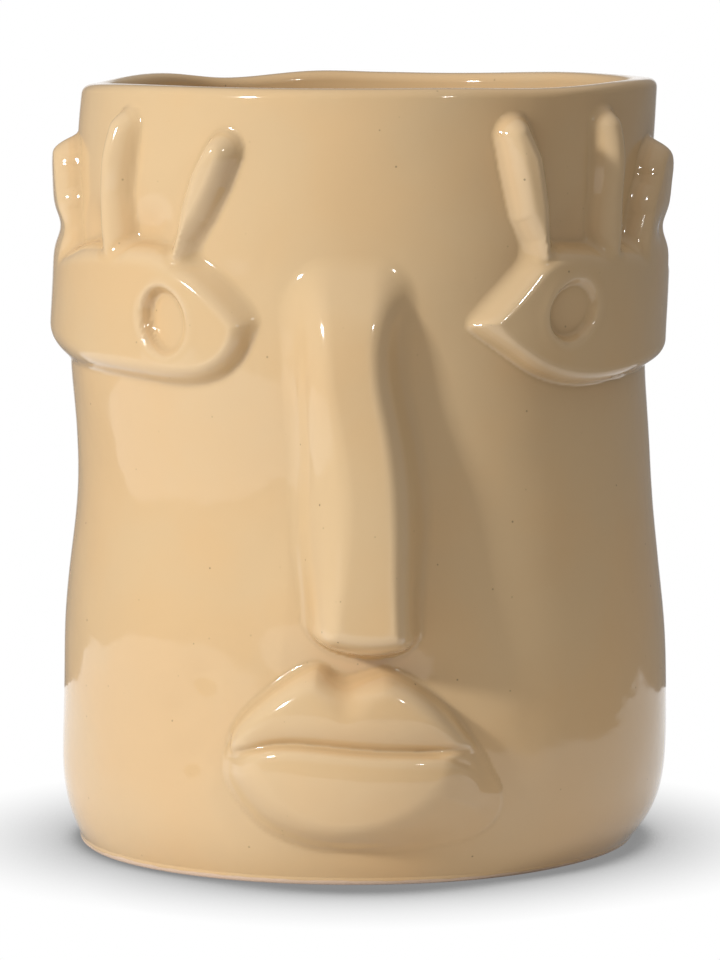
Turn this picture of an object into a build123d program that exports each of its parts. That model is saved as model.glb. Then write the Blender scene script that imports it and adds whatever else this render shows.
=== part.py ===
from build123d import *
import math
import os

# A hand-built stoneware face vase, in millimetres and degrees.
# The origin is the centre of the foot on the table, +Z is up and the face looks towards -Y.
# Left and right are the viewer's, and angles run from the front, positive to the right.

# Vessel
VASE_HEIGHT = 225.0
WALL_THICKNESS = 8.5
BASE_THICKNESS = 9.0
BELLY_RADIUS = 90.0
BELLY_HEIGHT = 36.0
HEEL_HEIGHT = 12.0
FOOT_EDGE_ROUND = 2.6

# How far the wall draws in from the belly at its foot, heel, flank, waist, brow and rim
FOOT_INSET = 6.6
HEEL_INSET = 2.4
FLANK_INSET = 2.4
WAIST_INSET = 5.1
BROW_INSET = 4.6
RIM_INSET = 4.4

# How far the hand-built wall wanders sideways at its heel, waist, brow and rim
HEEL_DRIFT = -0.9
WAIST_DRIFT = -1.2
BROW_DRIFT = -0.9
RIM_DRIFT = 1.6

# Rim coil, whose top rises and falls
RIM_BAND = 6.0
RIM_WAVE = 0.9
RIM_WAVE_COUNT = 8
RIM_WAVE_LOW_ANGLE = -5.0
RIM_TILT = 0.6

# Mouth
LOWER_LIP_ABOVE_TABLE = 10.0
LOWER_LIP_HEIGHT = 29.5
LOWER_LIP_DEPTH = 12.0
UPPER_LIP_HEIGHT = 23.5
UPPER_LIP_NOTCH = 9.0
UPPER_LIP_DEPTH = 11.0
MOUTH_ANGLE = -2.4
MOUTH_WIDTH = 71.0
LIP_CORNER_HEIGHT = 3.0
LIP_CORNER_DEPTH = 1.4

# Shape of the lips: where the peaks stand, how bluntly the lower lip bows, and how a slice swells
LIP_PEAK_PLACE = 0.25
LIP_BOW_POWER = 0.6
LIP_CREASE_SHARE = 0.4
LIP_NEAR_SWELL = 1.3
LIP_FAR_SWELL = 1.1
LIP_FAR_SWELL_PLACE = 0.75

# Nose
NOSE_ABOVE_LIP = 4.0
NOSE_TOP_BELOW_RIM = 47.0
NOSE_TIP_DEPTH = 20.0
NOSE_TIP_WIDTH = 27.0
NOSE_TIP_FLARE = 9.5
NOSE_TIP_ROUND = 6.5
NOSE_TIP_SHIFT = 0.6
NOSE_BRIDGE_DEPTH = 9.0
NOSE_BRIDGE_WIDTH = 22.5
NOSE_BRIDGE_FLARE = 6.5
NOSE_BRIDGE_SHIFT = -3.5
NOSE_TOP_DEPTH = 2.0
NOSE_FADE = 34.0
NOSE_EDGE_ROUND = 5.0
NOSE_TOP_EDGE_ROUND = 2.5

# Eyes
EYE_TOP_BELOW_RIM = 46.5
EYE_HEIGHT = 39.0
EYE_CORNER_DROP = 21.5
EYE_NOSE_GAP = 8.5
EYE_SLANT = 17.0
EYE_LENGTH = 76.0
EYE_TAIL_RISE = 9.0
EYE_THICKNESS = 6.5
EYE_EDGE_ROUND = 3.6
EYE_CORNER_ROUND = 5.0
EYE_OUTLINE_ROUND = 12.0
EYE_CHIN_SHARE = 0.35
LEFT_EYE_CHIN = 2.0
RIGHT_EYE_CHIN = 9.0
PUPIL_FROM_CORNER = 20.5
PUPIL_RISE = 1.0
PUPIL_RADIUS = 10.5
PUPIL_DEPTH = 4.2
PUPIL_EDGE_ROUND = 1.5

# Lashes
LASH_ROOT_RADIUS = 4.6
LASH_TIP_RADIUS = 6.2
LASH_LIFT = 0.8
LASH_SINK = 6.0
LONG_LASH_RIM_GAP = 1.0
SHORT_LASH_RIM_GAP = 8.0

# How far a piece's edge and its back run into the wall before its seat is cut
EDGE_BITE = 1.0
SEAT_DEPTH = 9.0

BIG = 4 * VASE_HEIGHT


def polar(radius, angle, height):
    """The point at a radius, an angle to the right of the front, and a height."""
    turn = math.radians(angle)
    return Vector(radius * math.sin(turn), -radius * math.cos(turn), height)


def radial_plane(angle):
    """The upright plane through the axis, with its x running out at an angle and its y up."""
    return Plane(origin=(0, 0, 0), x_dir=polar(1, angle, 0), z_dir=-polar(1, angle + 90, 0))


def facing_plane(angle):
    """The upright plane through the axis that looks out at an angle."""
    return Plane(origin=(0, 0, 0), x_dir=polar(1, angle + 90, 0), z_dir=polar(1, angle, 0))


def between(low, high, share):
    return low + (high - low) * share


def layer(low, high):
    """All the space between two heights."""
    return Pos(0, 0, low) * Box(BIG, BIG, high - low, align=(Align.CENTER, Align.CENTER, Align.MIN))


def vessel_form(grow):
    """A solid with the vessel's outer shape, grown or shrunk sideways."""
    above_belly = VASE_HEIGHT - BELLY_HEIGHT
    stations = [
        (0, FOOT_INSET, HEEL_DRIFT),
        (HEEL_HEIGHT, HEEL_INSET, HEEL_DRIFT),
        (BELLY_HEIGHT, 0, 0),
        (BELLY_HEIGHT + above_belly / 4, FLANK_INSET, 0),
        (BELLY_HEIGHT + above_belly / 2, WAIST_INSET, WAIST_DRIFT),
        (BELLY_HEIGHT + above_belly * 3 / 4, BROW_INSET, BROW_DRIFT),
        (VASE_HEIGHT, RIM_INSET, RIM_DRIFT),
    ]
    circles = []
    for height, inset, drift in stations:
        circles.append(Pos(drift, 0, height) * Circle(BELLY_RADIUS - inset + grow))
    return loft(circles)


outer_form = vessel_form(0)


def wall_radius(angle, height):
    """Distance from the vertical axis to the outer face of the wall."""
    way = polar(1, angle, 0)
    hits = outer_form.find_intersection_points(Axis((0, 0, height), way))
    return max(point.dot(way) for point, normal in hits)


def seated(piece):
    """The piece with its back cut to the outer face of the wall."""
    return piece - outer_form


# Places of the slices along a lofted piece, from -1 to 1 and closer together towards its ends
SLICE_STEPS = 12
slice_places = [-math.cos(math.pi * step / SLICE_STEPS) for step in range(SLICE_STEPS + 1)]

# Heights that the pieces share
rim_seat = VASE_HEIGHT - RIM_BAND
mouth_height = LOWER_LIP_ABOVE_TABLE + LOWER_LIP_HEIGHT
nose_bottom = mouth_height + UPPER_LIP_HEIGHT + NOSE_ABOVE_LIP
nose_top = VASE_HEIGHT - NOSE_TOP_BELOW_RIM
eye_top = VASE_HEIGHT - EYE_TOP_BELOW_RIM
eye_bottom = eye_top - EYE_HEIGHT
eye_corner = eye_top - EYE_CORNER_DROP


# Vessel pieces
def make_base_slab():
    """The floor of the vase, flat underneath, with a rounded foot edge."""
    form = fillet(outer_form.edges().group_by(Axis.Z)[0], FOOT_EDGE_ROUND)
    return form & layer(0, BASE_THICKNESS)


def make_body_wall():
    """The tube that stands on the base slab and carries the face."""
    return (outer_form - vessel_form(-WALL_THICKNESS)) & layer(BASE_THICKNESS, rim_seat)


def rim_section(angle):
    """An upright slice of the rim coil: flat seat, upright faces and a round top."""
    wave = math.cos(math.radians(RIM_WAVE_COUNT * (angle - RIM_WAVE_LOW_ANGLE)))
    tilt = math.sin(math.radians(angle))
    half = WALL_THICKNESS / 2
    shoulder = VASE_HEIGHT - half + RIM_TILT * tilt - RIM_WAVE * wave
    outer = BELLY_RADIUS - RIM_INSET
    inner = outer - WALL_THICKNESS
    outline = [
        Line((inner, rim_seat), (outer, rim_seat)),
        Line((outer, rim_seat), (outer, shoulder)),
        ThreePointArc((outer, shoulder), (outer - half, shoulder + half), (inner, shoulder)),
        Line((inner, shoulder), (inner, rim_seat)),
    ]
    return radial_plane(angle) * make_face(outline)


def make_rim_coil():
    """The rounded coil that finishes the wall, with a wavy top and a flat seat."""
    slices = 3 * RIM_WAVE_COUNT
    halves = []
    for start in (0, 180):
        halves.append(loft([rim_section(start + 180 * step / slices) for step in range(slices + 1)]))
    return Pos(RIM_DRIFT, 0, 0) * (halves[0] + halves[1])


# Nose
def nose_section(along):
    """A level slice of the nose: a flat front with rounded edges and sloping flanks."""
    height = between(nose_bottom, nose_top, along)
    above_tip = min(1, (height - nose_bottom) / NOSE_TIP_ROUND)
    tip_inset = NOSE_TIP_ROUND * (1 - math.sqrt(1 - (1 - above_tip) ** 2))
    below_top = min(1, (nose_top - height) / NOSE_FADE)
    fade = math.sin(below_top * math.pi / 2) ** 2
    middle = between(NOSE_TIP_SHIFT, NOSE_BRIDGE_SHIFT, along)
    full_depth = between(NOSE_TIP_DEPTH, NOSE_BRIDGE_DEPTH, along) - tip_inset
    depth = between(NOSE_TOP_DEPTH, full_depth, fade)
    front = (between(NOSE_TIP_WIDTH, NOSE_BRIDGE_WIDTH, along) - tip_inset) / 2
    foot = front + between(NOSE_TIP_FLARE, NOSE_BRIDGE_FLARE, along)
    edge_round = between(NOSE_TOP_EDGE_ROUND, NOSE_EDGE_ROUND, fade)
    wall = wall_radius(0, height)
    side = math.sqrt(wall**2 - foot**2) - EDGE_BITE
    back_left = Vector(middle - foot, SEAT_DEPTH - side)
    foot_left = Vector(middle - foot, -side)
    front_left = Vector(middle - front, -wall - depth)
    front_right = Vector(middle + front, -wall - depth)
    foot_right = Vector(middle + foot, -side)
    back_right = Vector(middle + foot, SEAT_DEPTH - side)
    flank_left = front_left + (foot_left - front_left).normalized() * edge_round
    flank_right = front_right + (foot_right - front_right).normalized() * edge_round
    flat_left = front_left + Vector(edge_round, 0)
    flat_right = front_right - Vector(edge_round, 0)
    outline = [
        Line(back_left, foot_left),
        Line(foot_left, flank_left),
        Bezier(flank_left, front_left, flat_left),
        Line(flat_left, flat_right),
        Bezier(flat_right, front_right, flank_right),
        Line(flank_right, foot_right),
        Line(foot_right, back_right),
        Line(back_right, back_left),
    ]
    return Pos(0, 0, height) * make_face(outline)


def make_nose():
    """A long straight nose, deepest at its rounded tip, that fades into the brow."""
    return seated(loft([nose_section((1 + place) / 2) for place in slice_places]))


# Mouth
def lip_section(place, rise, depth):
    """An upright slice of a lip. The rise is positive for the upper lip and negative for the lower."""
    half_turn = math.degrees(math.asin(MOUTH_WIDTH / 2 / wall_radius(0, mouth_height)))
    angle = MOUTH_ANGLE + place * half_turn
    far_height = mouth_height + rise
    crease_wall = wall_radius(angle, mouth_height)
    far_wall = wall_radius(angle, far_height)
    crease = (crease_wall + depth * LIP_CREASE_SHARE, mouth_height)
    near_swell = (crease_wall + depth * LIP_NEAR_SWELL, mouth_height)
    far_swell = (far_wall + depth * LIP_FAR_SWELL, mouth_height + rise * LIP_FAR_SWELL_PLACE)
    edge = (far_wall - EDGE_BITE, far_height)
    inside_far = (far_wall - SEAT_DEPTH, far_height)
    inside_crease = (crease_wall - SEAT_DEPTH, mouth_height)
    outline = [
        Bezier(crease, near_swell, far_swell, edge),
        Line(edge, inside_far),
        Line(inside_far, inside_crease),
        Line(inside_crease, crease),
    ]
    return radial_plane(angle) * make_face(outline)


def make_upper_lip():
    """A lip with two soft peaks and a notch between them."""
    sections = []
    for place in slice_places:
        past_peak = max(0, (abs(place) - LIP_PEAK_PLACE) / (1 - LIP_PEAK_PLACE))
        slope = between(UPPER_LIP_HEIGHT, LIP_CORNER_HEIGHT, past_peak)
        notch = UPPER_LIP_NOTCH * max(0, 1 - abs(place) / LIP_PEAK_PLACE)
        depth = between(UPPER_LIP_DEPTH, LIP_CORNER_DEPTH, place**2)
        sections.append(lip_section(place, slope - notch, depth))
    return seated(loft(sections))


def make_lower_lip():
    """A full lip, widest at the crease and rounded below."""
    sections = []
    for place in slice_places:
        bow = (1 - place**2) ** LIP_BOW_POWER
        drop = between(LIP_CORNER_HEIGHT, LOWER_LIP_HEIGHT, bow)
        depth = between(LIP_CORNER_DEPTH, LOWER_LIP_DEPTH, bow)
        sections.append(lip_section(place, -drop, depth))
    return seated(loft(sections))


# Eyes
eye_corner_reach = NOSE_BRIDGE_WIDTH / 2 + NOSE_BRIDGE_FLARE + abs(NOSE_BRIDGE_SHIFT) + EYE_NOSE_GAP
eye_corner_angle = math.degrees(math.asin(eye_corner_reach / wall_radius(0, eye_corner)))
eye_shoulder_angle = eye_corner_angle + EYE_SLANT
eye_tail_angle = eye_corner_angle + EYE_LENGTH


def make_eye_pad(side, chin):
    """A thick pad that wraps round the wall, pointed at the nose, with a pressed pupil."""
    middle = (eye_corner_angle + eye_tail_angle) / 2
    corners = [
        (eye_corner_angle, eye_corner, EYE_CORNER_ROUND),
        (eye_shoulder_angle, eye_top, EYE_OUTLINE_ROUND),
        (eye_tail_angle - EYE_SLANT, eye_top, EYE_OUTLINE_ROUND),
        (eye_tail_angle, eye_corner, EYE_OUTLINE_ROUND),
        (eye_tail_angle - EYE_SLANT, eye_bottom + EYE_TAIL_RISE, EYE_OUTLINE_ROUND),
        (eye_shoulder_angle + chin, eye_bottom, EYE_OUTLINE_ROUND),
        (eye_corner_angle + chin, between(eye_bottom, eye_corner, EYE_CHIN_SHARE), EYE_CORNER_ROUND),
    ]
    outline = []
    rounds = []
    for angle, height, corner_round in corners:
        across = wall_radius(side * angle, height) * math.sin(math.radians(side * (angle - middle)))
        outline.append((across, height))
        rounds.append(corner_round)
    face = make_face(FilletPolyline(outline, radius=rounds, close=True))
    prism = extrude(facing_plane(side * middle) * face, BIG)
    pad = (vessel_form(EYE_THICKNESS) & prism) - outer_form
    front_face = pad.faces().sort_by_distance(polar(BIG, side * middle, eye_corner))[0]
    pad = fillet(front_face.edges(), EYE_EDGE_ROUND)
    pupil_angle = side * (eye_corner_angle + PUPIL_FROM_CORNER)
    pupil_height = (eye_top + eye_bottom) / 2 + PUPIL_RISE
    surface = wall_radius(pupil_angle, pupil_height) + EYE_THICKNESS
    ball = (PUPIL_RADIUS**2 + PUPIL_DEPTH**2) / (2 * PUPIL_DEPTH)
    pressed = pad - Pos(polar(surface - PUPIL_DEPTH + ball, pupil_angle, pupil_height)) * Sphere(ball)
    pit_face = pressed.faces().sort_by_distance(polar(surface - PUPIL_DEPTH, pupil_angle, pupil_height))[0]
    return fillet(pit_face.edges(), PUPIL_EDGE_ROUND)


# Lashes: name, side, root and tip angles past the eye's shoulder, and gap from the tip to the rim coil
LASHES = [
    ("lash_left_inner", -1, -1.5, -10.0, SHORT_LASH_RIM_GAP),
    ("lash_left_middle", -1, 14.0, 14.0, LONG_LASH_RIM_GAP),
    ("lash_left_outer", -1, 42.0, 49.0, SHORT_LASH_RIM_GAP),
    ("lash_right_inner", 1, -1.5, -10.0, LONG_LASH_RIM_GAP),
    ("lash_right_middle", 1, 13.0, 13.0, LONG_LASH_RIM_GAP),
    ("lash_right_outer", 1, 31.0, 39.0, SHORT_LASH_RIM_GAP),
]


def make_lash(root_angle, tip_angle, rim_gap, eye_pad):
    """A finger of clay, thicker at its round tip, that stands on the eye pad."""
    root_height = eye_top - LASH_SINK
    tip_height = rim_seat - rim_gap
    root = polar(wall_radius(root_angle, root_height) + LASH_LIFT, root_angle, root_height)
    tip = polar(wall_radius(tip_angle, tip_height) + LASH_LIFT, tip_angle, tip_height)
    length = (tip - root).length
    dome = length - LASH_TIP_RADIUS
    outline = [
        Line((0, 0), (LASH_ROOT_RADIUS, 0)),
        Line((LASH_ROOT_RADIUS, 0), (LASH_TIP_RADIUS, dome)),
        RadiusArc((LASH_TIP_RADIUS, dome), (0, length), -LASH_TIP_RADIUS),
        Line((0, length), (0, 0)),
    ]
    finger = revolve(Plane.XZ * make_face(outline), Axis.Z)
    stand = Plane(origin=root, z_dir=tip - root)
    return seated(stand * finger) - eye_pad


def make_all():
    parts = {
        "base_slab": make_base_slab(),
        "body_wall": make_body_wall(),
        "rim_coil": make_rim_coil(),
        "nose": make_nose(),
        "upper_lip": make_upper_lip(),
        "lower_lip": make_lower_lip(),
    }
    eye_pads = {-1: make_eye_pad(-1, LEFT_EYE_CHIN), 1: make_eye_pad(1, RIGHT_EYE_CHIN)}
    parts["eye_left"] = eye_pads[-1]
    parts["eye_right"] = eye_pads[1]
    for name, side, root_past, tip_past, rim_gap in LASHES:
        root_angle = side * (eye_shoulder_angle + root_past)
        tip_angle = side * (eye_shoulder_angle + tip_past)
        parts[name] = make_lash(root_angle, tip_angle, rim_gap, eye_pads[side])
    return parts


os.makedirs("parts", exist_ok=True)
for node, shape in make_all().items():
    export_step(shape, f"parts/{node}.step")
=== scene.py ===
import math

import bpy
import numpy as np
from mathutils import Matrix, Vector


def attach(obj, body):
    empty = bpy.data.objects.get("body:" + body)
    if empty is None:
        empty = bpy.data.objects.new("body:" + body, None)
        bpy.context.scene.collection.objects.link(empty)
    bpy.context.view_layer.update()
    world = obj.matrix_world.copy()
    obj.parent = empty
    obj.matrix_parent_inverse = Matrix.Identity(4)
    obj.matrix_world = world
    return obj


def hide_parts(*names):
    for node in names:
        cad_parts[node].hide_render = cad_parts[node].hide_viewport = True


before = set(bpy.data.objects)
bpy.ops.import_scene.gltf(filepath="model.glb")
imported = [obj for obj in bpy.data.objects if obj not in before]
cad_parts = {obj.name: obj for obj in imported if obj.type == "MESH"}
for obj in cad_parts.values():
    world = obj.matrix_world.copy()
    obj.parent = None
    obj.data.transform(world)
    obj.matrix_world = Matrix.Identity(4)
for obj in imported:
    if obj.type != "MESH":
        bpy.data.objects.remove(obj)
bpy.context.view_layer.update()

# Lengths are in millimetres until a mesh is made. The face looks towards -Y.
# A place on the wall is (s, z): s runs along the wall from the middle of the face, to the viewer's right.
MM = 0.001
UNROLL_RADIUS = 86.0
BODY = "root"

# The plain form: radius and sideways drift of the wall at each height
WALL_RADIUS = [
    (0, 81.0), (4, 83.8), (10, 87.0), (19, 89.2), (30, 89.8), (42, 89.8), (55, 89.5), (68, 88.9),
    (77, 88.1), (86, 87.1), (95, 86.1), (104, 85.3), (113, 84.8), (124, 84.7), (140, 84.9), (178, 84.9),
    (211, 84.8), (225, 84.6),
]
WALL_DRIFT = [
    (0, -2.6), (5, -1.6), (12, -0.6), (22, 0.0), (40, 0.3), (68, 0.0), (86, 0.1), (104, 0.4),
    (116, 0.0), (131, -1.2), (143, -2.0), (165, -1.1), (190, -0.4), (211, 0.8), (225, 1.8),
]
WALL_THICKNESS = 8.5
FLOOR_TOP = 9.0
FLOOR_FILLET = 6.0
FOOT_ROUND = 2.6

# How far the flat foot is inside the wall, at each angle round the vase in degrees
FOOT_INSET = [(-200, 2.4), (-90, 2.2), (0, 2.4), (25, 3.2), (50, 4.4), (80, 3.4), (120, 2.6), (200, 2.4)]

# The rim coil, and the waves of its top at each angle round the vase in degrees
VASE_HEIGHT = 225.1
RIM_SEAT = 219.0
RIM_ROUND = 2.8
RIM_ROUND_SHARE = 0.4
RIM_FLAT_SHARE = 0.2
RIM_CROWN = 0.15
RIM_HEIGHT = [
    (-200, 0.1), (-180, 0.6), (-167, 0.9), (-147, -0.9), (-131, 0.8), (-105, -0.6), (-66, 0.0),
    (-34, 0.0), (0, -0.1), (20, -0.1), (37, -0.4), (62, 0.8), (85, 1.1), (110, 0.9), (135, 1.1),
    (160, 0.3), (180, 0.6), (193, 0.9),
]

# Hand-made unevenness of the wall: height, turns round the vase, length along z, and phase of each wave
WALL_WAVES = [(0.14, 3, 95.0, 0.4), (0.13, 5, 62.0, 2.1), (0.10, 8, 47.0, 4.0), (0.06, 13, 31.0, 1.2)]

# Marks of the fingers that pressed the wall: angle, height along z, depth and size of each
DENT_COUNT = 90
DENT_SEED = 11
DENT_HEIGHTS = (18.0, 212.0)
DENT_DEPTH_SPREAD = 0.15
DENT_SIZES = (6.0, 13.0)
dent_draw = np.random.default_rng(DENT_SEED)
WALL_DENTS = list(zip(
    dent_draw.uniform(-math.pi, math.pi, DENT_COUNT),
    dent_draw.uniform(*DENT_HEIGHTS, DENT_COUNT),
    dent_draw.normal(0.0, DENT_DEPTH_SPREAD, DENT_COUNT),
    dent_draw.uniform(*DENT_SIZES, DENT_COUNT),
))

# The mesh grid, finer over the face and finest over the crease of the mouth
FRONT_ANGLE = math.radians(106.0)
FRONT_STEP = math.radians(0.53)
BACK_STEP = math.radians(2.0)
ROW_STEP = 0.75
MOUTH_ROW_STEP = 0.5
MOUTH_ROWS = (32.0, 48.0)

# A grid point may move this share of the way to its neighbour, to lie on the outline of a piece
SNAP_SHARE = 0.5
SNAP_SHARE_BESIDE_HELD = 0.75

# Steps that slopes are measured over, along the wall and along the parameter of a rounded edge
SLOPE_STEP = 0.15
SLOPE_STEP_ROUND = 0.0015

# How deep the backs of the face pieces, and the wall under them, lie below the plain wall
PIECE_BACK = 0.2
WALL_DIP = 0.4
LASH_TOP_LIMIT = 218.4

# Rings of points in the parts of the vase that are not on the grid
FILLET_RINGS = 9
INSIDE_RINGS = 42
FOOT_RINGS = 9
FLAT_RINGS = 12
RIM_OUTER_RINGS = 6
RIM_TOP_RINGS = 21
RIM_INNER_RINGS = 5

# Distances round a point over which its hollowness is measured
POOL_REACHES = (1.2, 3.0)

# Stand-ins for very far and very small, and how the corners of an outline are cut
FAR_AWAY = 1e9
FAR_BELOW = -60.0
TINY = 1e-12
CORNER_CUT = 0.25
OUTLINE_ROUNDS = 2


def smooth_curve(stations, x):
    """A natural cubic spline through the stations, at x."""
    known_x = np.array([station[0] for station in stations], float)
    known_y = np.array([station[1] for station in stations], float)
    count = len(known_x)
    gap = np.diff(known_x)
    slope = np.diff(known_y) / gap
    matrix = np.eye(count)
    target = np.zeros(count)
    for i in range(1, count - 1):
        matrix[i, i - 1:i + 2] = gap[i - 1], 2 * (gap[i - 1] + gap[i]), gap[i]
        target[i] = 6 * (slope[i] - slope[i - 1])
    bend = np.linalg.solve(matrix, target)
    x = np.clip(x, known_x[0], known_x[-1])
    k = np.clip(np.searchsorted(known_x, x, side="right") - 1, 0, count - 2)
    before = x - known_x[k]
    after = known_x[k + 1] - x
    width = gap[k]
    cubic = (bend[k] * after ** 3 + bend[k + 1] * before ** 3) / (6 * width)
    left = (known_y[k] / width - bend[k] * width / 6) * after
    right = (known_y[k + 1] / width - bend[k + 1] * width / 6) * before
    return cubic + left + right


def ramp(x, start, end):
    """0 before start, 1 after end, smooth between."""
    t = np.clip((x - start) / (end - start), 0, 1)
    return t * t * (3 - 2 * t)


def bump(x, centre, spread):
    """A bell of height 1."""
    return np.exp(-((x - centre) / spread) ** 2)


def blend_high(a, b, reach):
    """The higher of two surfaces, with a fillet where they cross."""
    near = np.clip(0.5 + 0.5 * (a - b) / reach, 0, 1)
    return b + (a - b) * near + reach * near * (1 - near)


def pillow(distance, height, width, bulge):
    """Height of a pad over its outline: rounded up from the edge, and falling away outside it."""
    t = np.clip(-distance / width, 0, 1)
    inside = height * (1 - (1 - t) ** bulge)
    return np.where(distance > 0, -bulge * height / width * distance, inside)


def outline_distance(s, z, points):
    """Distance to a closed outline, negative inside."""
    nearest = np.full(np.shape(s), FAR_AWAY)
    inside = np.zeros(np.shape(s), bool)
    for (s0, z0), (s1, z1) in zip(points, points[1:] + points[:1]):
        along_s, along_z = s1 - s0, z1 - z0
        t = np.clip(((s - s0) * along_s + (z - z0) * along_z) / (along_s ** 2 + along_z ** 2), 0, 1)
        nearest = np.minimum(nearest, np.hypot(s - s0 - t * along_s, z - z0 - t * along_z))
        if z0 != z1:
            crosses = (z0 > z) != (z1 > z)
            inside ^= crosses & (s < s0 + (z - z0) / along_z * along_s)
    return np.where(inside, -nearest, nearest)


def finger_place(s, z, path):
    """Distance to a rolled finger along points (s, z, radius), negative inside it.

    Also gives how far to the right of its middle line a place is, as a share of its radius.
    """
    nearest = np.full(np.shape(s), FAR_AWAY)
    aside = np.zeros(np.shape(s))
    for (s0, z0, r0), (s1, z1, r1) in zip(path, path[1:]):
        along_s, along_z = s1 - s0, z1 - z0
        length = math.hypot(along_s, along_z)
        t = np.clip(((s - s0) * along_s + (z - z0) * along_z) / length ** 2, 0, 1)
        radius = r0 + t * (r1 - r0)
        distance = np.hypot(s - s0 - t * along_s, z - z0 - t * along_z) - radius
        to_right = ((s - s0) * along_z - (z - z0) * along_s) / length
        aside = np.where(distance < nearest, np.clip(to_right / radius, -1, 1), aside)
        nearest = np.minimum(nearest, distance)
    return nearest, aside


def rounded_outline(points):
    """Chaikin's corner cutting, which turns the corners of an outline into curves."""
    near = 1 - CORNER_CUT
    far = CORNER_CUT
    for _ in range(OUTLINE_ROUNDS):
        cut = []
        for (s0, z0), (s1, z1) in zip(points, points[1:] + points[:1]):
            cut.append((near * s0 + far * s1, near * z0 + far * z1))
            cut.append((far * s0 + near * s1, far * z0 + near * z1))
        points = cut
    return points


# Finger presses in the wall beside the mouth, as (s, z, depth, size)
MOUTH_PRESSES = [(-46.0, 59.5, 0.7, 5.0), (-54.2, 48.3, 0.7, 5.5), (-50.0, 36.5, 0.8, 6.5)]

# Eyes: the foot of each pad from its inner corner, in (s, z)
EYE_LEFT = rounded_outline([
    (-28.6, 158.0), (-31.0, 150.0), (-36.0, 144.4), (-43.0, 141.2), (-53.0, 140.0), (-70.0, 141.2),
    (-92.0, 142.4), (-115.0, 142.8), (-139.0, 144.5), (-147.0, 152.0), (-147.0, 167.0), (-140.0, 177.0),
    (-115.0, 179.0), (-90.0, 182.0), (-72.0, 182.2), (-57.0, 181.4), (-48.5, 177.3), (-41.0, 172.8),
    (-34.5, 167.4), (-29.4, 161.8),
])
EYE_RIGHT = rounded_outline([
    (30.4, 159.4), (32.6, 156.0), (42.0, 150.0), (50.0, 144.6), (58.5, 141.2), (68.0, 139.4),
    (79.0, 139.2), (100.0, 140.5), (128.0, 141.8), (141.0, 146.0), (147.0, 154.0), (147.0, 168.0),
    (140.0, 176.0), (122.0, 178.0), (100.0, 180.5), (84.0, 181.4), (70.0, 181.4), (58.0, 182.4),
    (50.0, 180.0), (43.0, 172.2), (36.2, 165.6),
])
EYE_INSET = 1.2

# Width of a pad's rounded edge, and what is added to it far out, at the inner corner and low down
EYE_EDGE = 6.6
EYE_EDGE_FAR_LEFT = 3.6
EYE_EDGE_FAR_RIGHT = 2.2
EYE_EDGE_CORNER = -0.8
EYE_EDGE_LOW_LEFT = -0.8
EYE_EDGE_LOW_RIGHT = -2.6
EYE_BULGE = 2.3
EYE_BULGE_CORNER = 1.7
EYE_FILLET = 2.2
EYE_FILLET_CORNER = 2.4

# Where low, the inner corner and far out begin and end
EYE_LOW = (152.0, 163.0)
EYE_CORNER_END = (40.0, 66.0)
EYE_FAR = (85.0, 115.0)

# Pupils: middle (s, z), half width, half height and tilt, and how the floor leans across and up
PUPIL_LEFT = (-56.6, 159.4, 8.6, 10.6, 0.18)
PUPIL_RIGHT = (63.4, 162.2, 9.2, 9.6, -0.1)
PUPIL_LEAN_LEFT = (-0.55, 0.25)
PUPIL_LEAN_RIGHT = (-0.3, -0.25)
PUPIL_DEPTH = 2.8
PUPIL_FLOOR = 0.7
PUPIL_LIP = 0.12
PUPIL_LIP_PLACE = (1.15, 0.18)

# Lashes: points along each finger, as (s, z, radius)
LASHES = {
    "lash_left_inner": [
        (-54.0, 178.0, 4.8), (-52.2, 183.0, 4.8), (-48.9, 190.5, 6.4), (-45.2, 199.5, 7.2),
        (-42.0, 207.2, 6.7),
    ],
    "lash_left_middle": [(-80.0, 178.0, 6.4), (-81.2, 195.0, 6.3), (-80.2, 213.4, 6.5)],
    "lash_left_outer": [(-123.5, 177.0, 16.0), (-123.5, 189.0, 12.8), (-125.0, 200.6, 10.2)],
    "lash_right_inner": [
        (53.4, 178.0, 5.2), (52.2, 183.0, 5.4), (49.6, 191.0, 7.0), (45.9, 204.5, 7.3),
        (43.0, 212.2, 6.4),
    ],
    "lash_right_middle": [(80.0, 178.0, 6.7), (79.3, 195.0, 6.6), (77.8, 213.6, 6.5)],
    "lash_right_outer": [(111.5, 177.0, 19.0), (111.5, 188.0, 15.6), (113.0, 197.6, 12.8)],
}
LASH_INSET = 0.8
LASH_EDGE = 5.4
LASH_BULGE = 2.0
LASH_TILT = 0.18
LASH_TILT_END = (84.0, 96.0)
LASH_TILT_FADE = 3.0
LASH_START = (174.0, 187.0)

# The hand-like form of a pad with its lashes: its blend, its height up z, and the groove at the outer root
HAND_BLEND = 3.0
HAND_HEIGHT = [(130, 6.0), (172, 6.1), (186, 6.3), (197, 6.9), (206, 7.1), (213, 5.8), (222, 3.6)]
ROOT_GROOVE = 2.0
ROOT_GROOVE_PLACE = (183.0, 5.0)
ROOT_GROOVE_START = (100.0, 116.0)

# Thumb presses in the wall between the roots of the lashes, as (s, z, half width, half height)
VALLEYS = [
    (-67.5, 185.0, 7.0, 6.5), (-97.0, 185.0, 8.0, 6.5), (66.5, 186.0, 7.0, 6.5), (90.0, 185.0, 6.0, 6.5),
]
VALLEY_DEPTH_LEFT = 2.0
VALLEY_DEPTH_RIGHT = 1.2
VALLEY_EDGE_LOSS = 0.4

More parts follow.
